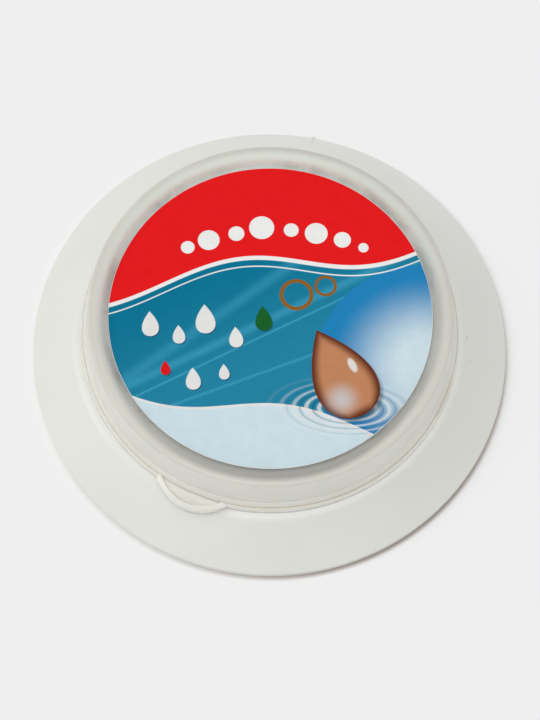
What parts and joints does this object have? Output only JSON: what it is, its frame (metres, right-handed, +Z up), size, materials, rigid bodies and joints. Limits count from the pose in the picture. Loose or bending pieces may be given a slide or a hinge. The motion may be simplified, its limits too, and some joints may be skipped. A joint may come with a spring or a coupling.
{
  "type": "finger moistener",
  "caption": "Low round desk pot of moistening gel: wide sloping skirt base with a cup, closed by a soft press-on lid with sunk label and pull tab.",
  "frame": {"origin": "centre of the round foot, on the surface that it stands on", "axes": "+Z up through the lid; the viewer of the picture stands at -Y; the pull tab lies 22.5 degrees from -Y towards -X"},
  "size_m": [0.085, 0.085, 0.0177],
  "materials": {
    "base_plastic": "satin moulded ABS, warm white",
    "gel": "wet waxy gel, pale amber",
    "lid_plastic": "translucent natural LDPE, satin",
    "label_film": "printed coated film with a fine halftone"
  },
  "bodies": {
    "base": {"base": "base_plastic", "gel": "gel"},
    "lid": {"lid": "lid_plastic", "label": "label_film"}
  },
  "joints": [
    {"name": "lid_lift", "type": "slide", "parent": "base", "child": "lid", "axis": [0, 0, 1], "range_m": [0, 0.03]}
  ]
}
